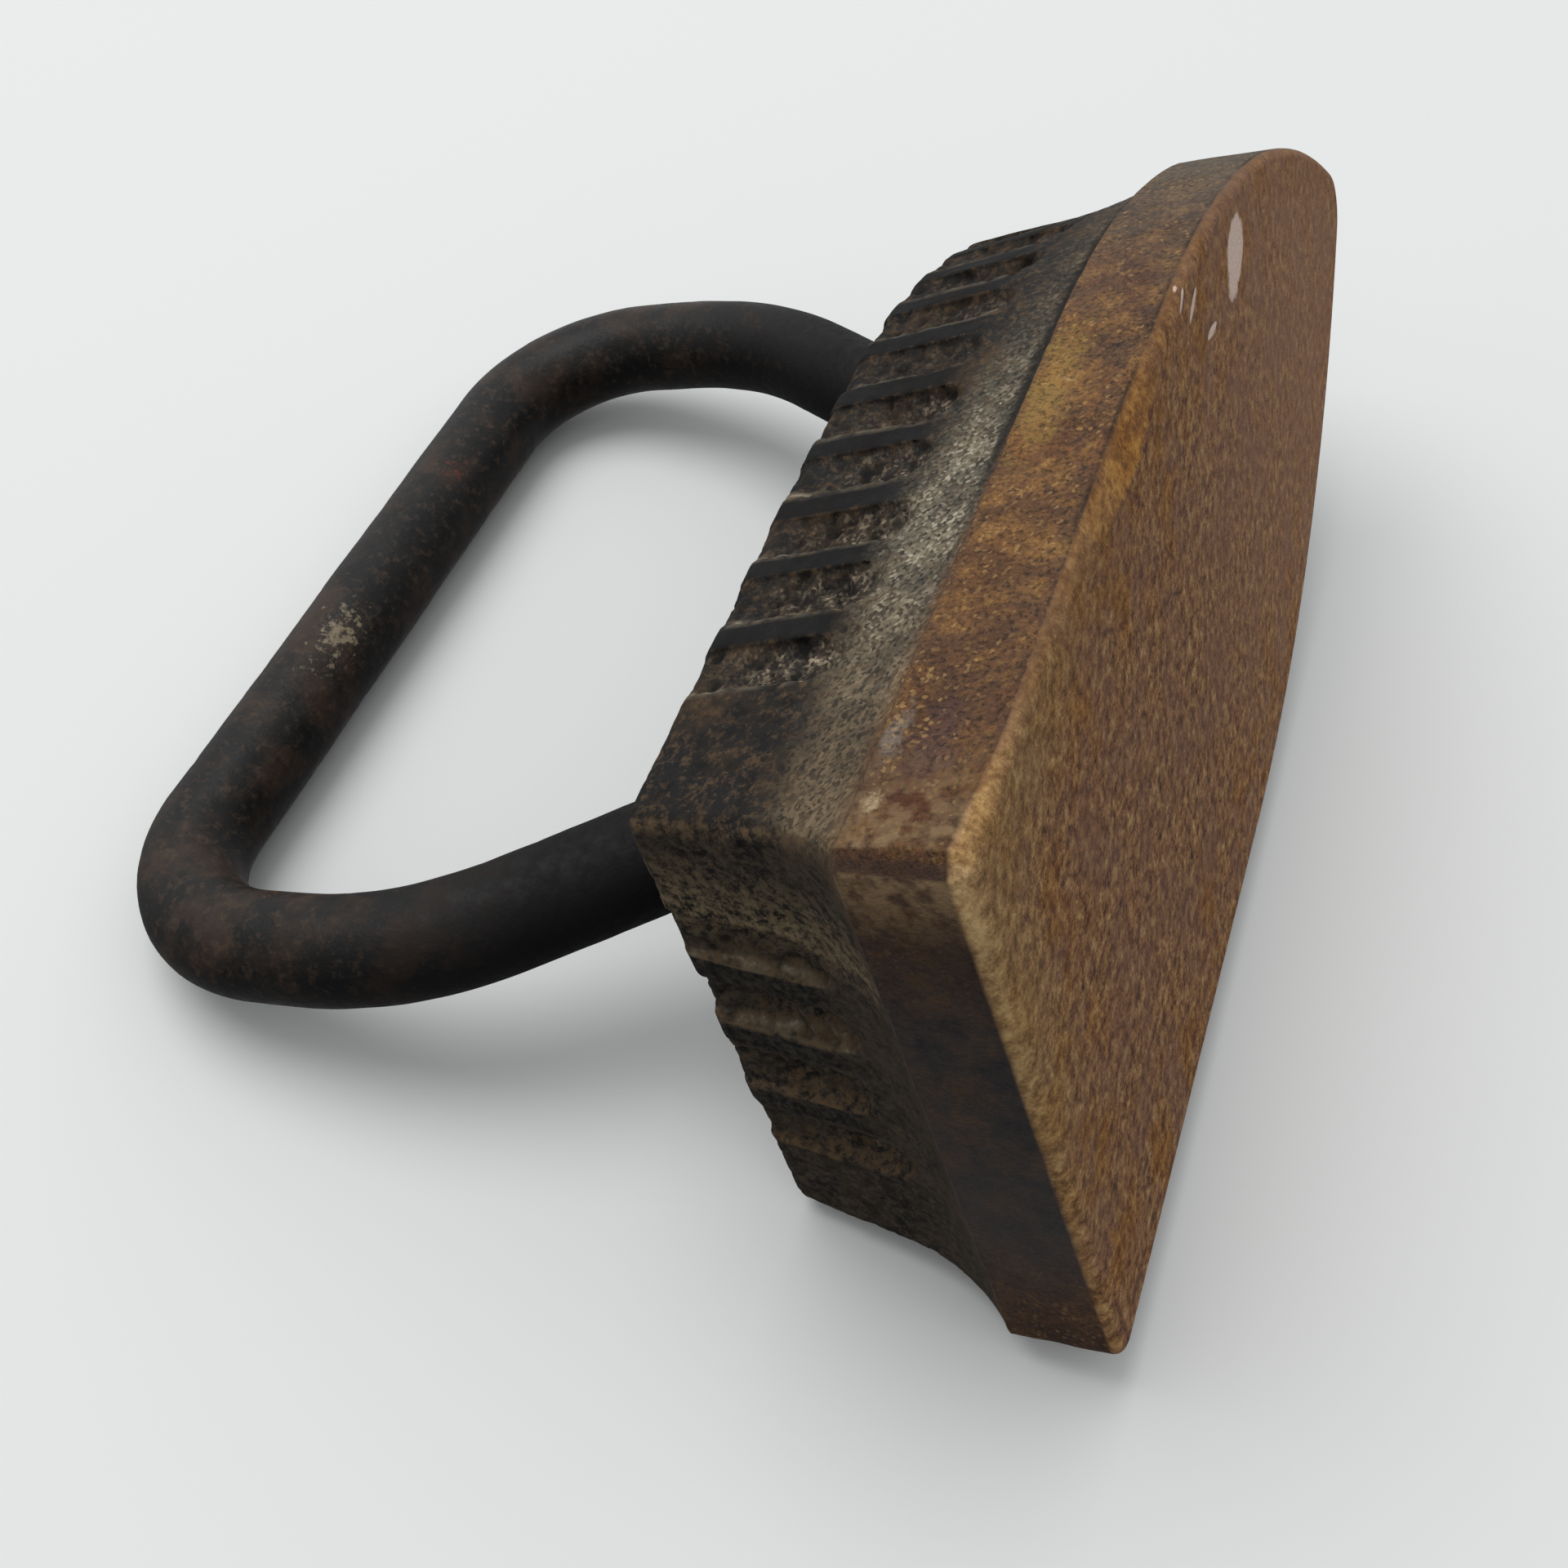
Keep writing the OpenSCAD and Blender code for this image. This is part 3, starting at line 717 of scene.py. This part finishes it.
# Painted highlight: sparse grey crumbs stand in for small glints.
glint_crumbs = add_node(tree, "ValToRGB", {"ramp": [(0.6, 0.0), (0.66, 0.6)]}, {0: grain})
face = coat(tree, face, "#a99d97", glint_crumbs)
ochre = add_node(tree, "ValToRGB", {"ramp": OCHRE}, {0: fibre})
amber = add_node(tree, "MapRange", {"range": (0.48, 0.6, 0.0, 0.65)}, {0: cloud})
outer = add_node(tree, "MapRange", {**SOFT, "range": (0.35, 0.8)}, {0: marks["outward"]})
off_nose = add_node(tree, "MapRange", {"range": (45, 15)}, {0: nose_way})
face = coat(tree, face, ochre, amber, outer, off_nose)
rearward = add_node(tree, "MapRange", {"range": (-25, -65)}, {0: nose_way})
straw = add_node(tree, "ValToRGB", {"ramp": STRAW}, {0: fibre})
straw = coat(tree, ochre, straw, rearward)
bloom = add_node(tree, "MapRange", {**SOFT, "range": (0.6, 1, 0.0, 0.25)}, {0: marks["outward"]})
right_half = add_node(tree, "MapRange", {"range": (20, -15)}, {0: left_way})
more = add_node(tree, "MapRange", {"range": (0, 1, 1.0, 2.8)}, {0: rearward})
face = coat(tree, face, straw, bloom, right_half, more)
skin = coat(tree, skin, face, marks["sole"])
print(len(tree.nodes), "nodes with the sole")

# %% [markdown]
# The sole's edge shows its wear. The facet is ochre, the rest of the edge is a dull brown, and the edge
# of the heel is pale at the right corner. Dark scratches follow the edge, one on each side of the facet.

# %% The sole's edge
facet_wear = add_node(tree, "MapRange", {"range": (0, 1, 0.0, 0.95)}, {0: marks["facet"]})
rear_wear = add_node(tree, "MapRange", {"range": (-60, -78, 0.0, 0.4)}, {0: nose_way})
worn = add_node(tree, "Math", {"operation": "MAXIMUM"}, {0: facet_wear, 1: rear_wear})
skin = coat(tree, skin, straw, worn, marks["edge"], marks["sole"])
dull = add_node(tree, "MapRange", {"range": (-77, -58, 0.0, 0.7)}, {0: nose_way})
off_facet = add_node(tree, "MapRange", {"range": (0, 1, 1.0, 0.0)}, {0: marks["facet"]})
skin = coat(tree, skin, "#5e4129", dull, marks["edge"], off_facet)
pale = add_node(tree, "MapRange", {"range": (-36, 8, 0.55, 0.0)}, {0: left_way})
streaky = add_node(tree, "MapRange", {"range": (0.42, 0.58, 0.35, 1.0)}, {0: fibre})
skin = coat(tree, skin, "#e0c392", pale, streaky, marks["heel"], marks["edge"], marks["sole"])
scratch = add_node(tree, "MapRange", {"range": (0.36, 0.6)}, {0: cloud})
off_rear = add_node(tree, "MapRange", {"range": (-62, -35, 0.0, 0.9)}, {0: nose_way})
skin = coat(tree, skin, "#2a1d13", scratch, marks["edge_line"], off_rear)
print(len(tree.nodes), "nodes with the sole's edge")

# %% [markdown]
# Near the nose a pinkish film has dried on the sole, with smaller flakes behind it. It is glossier than
# the iron. Soot is the roughest, and the grain of the rust stands up a little.

# %% Dried film and flakes, each one an ellipse with its place and half sizes in mm and its turn
FILM = [((22.5, -26.0), (5.9, 3.6), -10), ((8.0, -25.3), (2.2, 0.5), 10), ((2.6, -32.0), (2.4, 0.5), -20),
        ((-1.2, -34.8), (1.6, 0.4), -25), ((-1.0, -36.4), (1.6, 0.5), 0)]
FILM_H = 0.9
flakes = []
for at, half, turn in FILM:
    flakes.append(blot(tree, mm, (*at, 0.0), (*half, FILM_H), turn, cloud, 1.6, (1.8, 1.65)))
film = flakes[0]
for flake in flakes[1:]:
    film = add_node(tree, "Math", {"operation": "MAXIMUM"}, {0: film, 1: flake})
skin = coat(tree, skin, "#ffe2d0", film)
print(len(FILM), "flakes on the sole")

# %% Shader of the casting
crust = add_node(tree, "Math", {"operation": "MULTIPLY_ADD", 1: 0.6}, {0: fibre, 2: grit})
relief = add_node(tree, "MapRange", {"range": (0, 1, 0.7, 0.15)}, {0: soot_and_leg_shade})
even = add_node(tree, "MapRange", {"range": (0, 1, 1.0, 0.3)}, {0: marks["edge"]})
relief = add_node(tree, "Math", {"operation": "MULTIPLY"}, {0: relief, 1: even})
bump = add_node(tree, "Bump", {"Distance": 0.6 * MM}, {"Height": crust, "Strength": relief})
gloss = add_node(tree, "MapRange", {"range": (0.35, 0.65, 0.48, 0.7)}, {0: cloud})
gloss = add_node(tree, "Math", {"operation": "MULTIPLY_ADD", 1: 0.2}, {0: soot_and_leg_shade, 2: gloss})
gloss = add_node(tree, "Mix", {"data_type": "FLOAT", 3: 0.35}, {0: film, 2: gloss}).outputs[0]
shader = add_node(tree, "BsdfPrincipled", {"Specular IOR Level": 0.24},
                  {"Base Color": skin, "Roughness": gloss, "Normal": bump})
add_node(tree, "OutputMaterial", links={0: shader})
casting.data.materials.append(iron)
print(len(tree.nodes), "nodes in the finish of the casting")

# %% [markdown]
# ### The blackened bar
# The bar kept its forge scale: nearly black, satin where hands rubbed it, with brown rust showing
# through in clouds, and dull and darker down the legs, partly with soot and partly with painted shade. A
# tan patch has dried on the grip, and two spots are red or orange.

# %% Forge-black bar
SCALE = [(0.4, "#0b0b0c"), (0.5, "#151311"), (0.62, "#33261d")]
SPOTS = [((-18.5, -4.8, 111.5), (8.5, 4.5, 4.0), "#8d7f67"),
         ((15.7, -4.9, 111.1), (4.0, 3.0, 3.0), "#5a2f22"),
         ((-63.2, -4.0, 94.1), (2.0, 2.0, 2.5), "#8a4f26")]
black, tree, mm = new_material("forge_blackened_bar")
cloud = add_node(tree, "TexNoise", {"Scale": 1 / 10, "Detail": 7, "Roughness": 0.65}, {0: mm})
fine = add_node(tree, "TexNoise", {"Scale": 1 / 1.4, "Detail": 6, "Roughness": 0.72}, {0: mm})
scale = add_node(tree, "ValToRGB", {"ramp": SCALE}, {0: cloud})
rusty = add_node(tree, "ValToRGB", {"ramp": [(0.52, 0.0), (0.68, 0.6)]}, {0: fine})
scale = coat(tree, scale, "#524132", rusty)
height = add_node(tree, "SeparateXYZ", links={0: mm}).outputs[2]
# Painted shade: the legs get darker towards the casting, partly soot and partly painted shade.
soot_and_leg_shade = add_node(tree, "MapRange", {"range": (92, 62, 0.0, 0.95)}, {0: height})
scale = coat(tree, scale, "#060607", soot_and_leg_shade)
for at, half, colour in SPOTS:
    scale = coat(tree, scale, colour, blot(tree, mm, at, half, 0, fine, 4.5, (2.75, 2.3, 0.0, 0.8)))
bump = add_node(tree, "Bump", {"Strength": 0.4, "Distance": 0.4 * MM}, {"Height": fine})
gloss = add_node(tree, "MapRange", {"range": (0.35, 0.65, 0.26, 0.48)}, {0: fine})
gloss = add_node(tree, "Math", {"operation": "MULTIPLY_ADD", 1: 0.3}, {0: soot_and_leg_shade, 2: gloss})
shader = add_node(tree, "BsdfPrincipled", {"Specular IOR Level": 0.25},
                  {"Base Color": scale, "Roughness": gloss, "Normal": bump})
add_node(tree, "OutputMaterial", links={0: shader})
bar.data.materials.append(black)
print(len(SPOTS), "spots on the bar")

# %% [markdown]
# ## The table
# The iron lies on its left side, on the rim of its casting and on the grip. In the iron's own frame
# the table is therefore a leaning plane that touches both. It is white laminate, dull and even, and it
# fades into the pale room far from the iron. Seen from below it is clear, so it hides nothing.

# %% Table top
RIM_Z, TABLE_HALF, TABLE_GAP = 36.0, 1.2, 0.3
rim_touch = Vector((0.0, TOP["half"], RIM_Z)) * MM
along_z = GRIP_H - RIM_Z
reach = math.hypot(along_z, TOP["half"])
tilt = math.atan2(TOP["half"], along_z) - math.asin(BAR_R / reach)
table_up = Vector((0.0, -math.cos(tilt), -math.sin(tilt)))
table_x = Vector((1.0, 0.0, 0.0))
table_turn = Matrix((table_x, table_up.cross(table_x), table_up)).transposed()
bm = bmesh.new()
bmesh.ops.create_grid(bm, x_segments=1, y_segments=1, size=TABLE_HALF)
bmesh.ops.rotate(bm, verts=bm.verts, matrix=table_turn)
bmesh.ops.translate(bm, verts=bm.verts, vec=rim_touch - table_up * TABLE_GAP * MM)
mesh = bpy.data.meshes.new("table_top")
bm.to_mesh(mesh)
bm.free()
table_top = bpy.data.objects.new("table_top", mesh)
bpy.context.scene.collection.objects.link(table_top)
table_top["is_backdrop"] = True
table_top.visible_diffuse = False
table_top.visible_glossy = False
table_top.visible_shadow = False
print("table leans", round(math.degrees(tilt), 2), "degrees")

# %% White laminate
white, tree, mm = new_material("white_laminate")
far = add_node(tree, "VectorMath", {"operation": "LENGTH"}, {0: mm}).outputs["Value"]
fade = add_node(tree, "MapRange", {**SOFT, "range": (650, 1000)}, {0: far})
backfacing = add_node(tree, "NewGeometry").outputs["Backfacing"]
hide = add_node(tree, "Math", {"operation": "MAXIMUM"}, {0: fade, 1: backfacing})
clear = add_node(tree, "BsdfTransparent")
laminate = add_node(tree, "BsdfDiffuse", {"Color": "#e8eae9"})
shown = add_node(tree, "MixShader", links={0: hide, 1: laminate, 2: clear})
add_node(tree, "OutputMaterial", links={0: shown})
table_top.data.materials.append(white)
print(len(tree.nodes), "nodes in the laminate")

# %% [markdown]
# ## Light and camera
# The photograph was taken under soft light from overhead, a little from behind. A wide area lamp over
# the table and a pale sky all round give that. The camera stands where the photograph was taken from.

# %% Directions of the picture
camera_at = Vector((-175.265, -140.817, -51.055)) * MM
camera_axes = Matrix(((0.32721654, 0.70252718, -0.63196906),
                      (0.27713051, -0.71072361, -0.64658382),
                      (-0.90339804, 0.03643501, -0.42725223)))
picture_up = (camera_axes.col[1] - camera_axes.col[1].dot(table_up) * table_up).normalized()
picture_right = camera_axes.col[0]
print("the picture's upper edge lies towards", tuple(round(v, 2) for v in picture_up))

# %% Pale room, brighter towards a window above the table, with an even backdrop for the camera
world = bpy.data.worlds.new("pale_room")
bpy.context.scene.world = world
world.use_nodes = True
tree = world.node_tree
tree.nodes.clear()
way = add_node(tree, "TexCoord").outputs["Generated"]
to_window = {"operation": "DOT_PRODUCT", 1: 0.9 * table_up + 0.3 * picture_up}
toward = add_node(tree, "VectorMath", to_window, {0: way}).outputs["Value"]
room = add_node(tree, "MapRange", {**SOFT, "range": (-0.4, 0.5, 0.15, 0.68)}, {0: toward})
rays = add_node(tree, "LightPath")
backdrop = add_node(tree, "Background", {"Color": "#e4e6e5", "Strength": 1.0})
sky = add_node(tree, "Background", {"Color": "#f7f8f9"}, {"Strength": room})
seen = add_node(tree, "MixShader", links={0: rays.outputs["Is Camera Ray"], 1: sky, 2: backdrop})
add_node(tree, "OutputWorld", links={0: seen})
print(len(tree.nodes), "nodes in the room")

# %% Lamp, with its size and distance in metres
LAMP_FAR = 2.2
lamp_way = (table_up + 0.25 * picture_up - 0.35 * picture_right).normalized()
lamp = bpy.data.lights.new("overhead", "AREA")
lamp.shape, lamp.size, lamp.energy = "DISK", 1.9, 24.0
lamp_object = bpy.data.objects.new("overhead", lamp)
lamp_object.location = lamp_way * LAMP_FAR
lamp_object.rotation_mode = "QUATERNION"
lamp_object.rotation_quaternion = lamp_way.to_track_quat("Z", "Y")
bpy.context.scene.collection.objects.link(lamp_object)
print("lamp towards", tuple(round(v, 2) for v in lamp_way))

# %% Camera
camera = bpy.data.objects.new("photo_camera", bpy.data.cameras.new("photo_camera"))
camera.data.sensor_width, camera.data.lens = 36.0, 45.5
camera.data.clip_start = 0.01
camera.matrix_world = Matrix.Translation(camera_at) @ camera_axes.to_4x4()
bpy.context.scene.collection.objects.link(camera)
bpy.context.scene.camera = camera
bpy.context.scene.view_settings.view_transform = "Standard"
print("camera", round(camera_at.length, 3), "m from the middle of the sole")

# %% Boxes
low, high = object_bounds()
print("dressed from", tuple(low), "to", tuple(high))
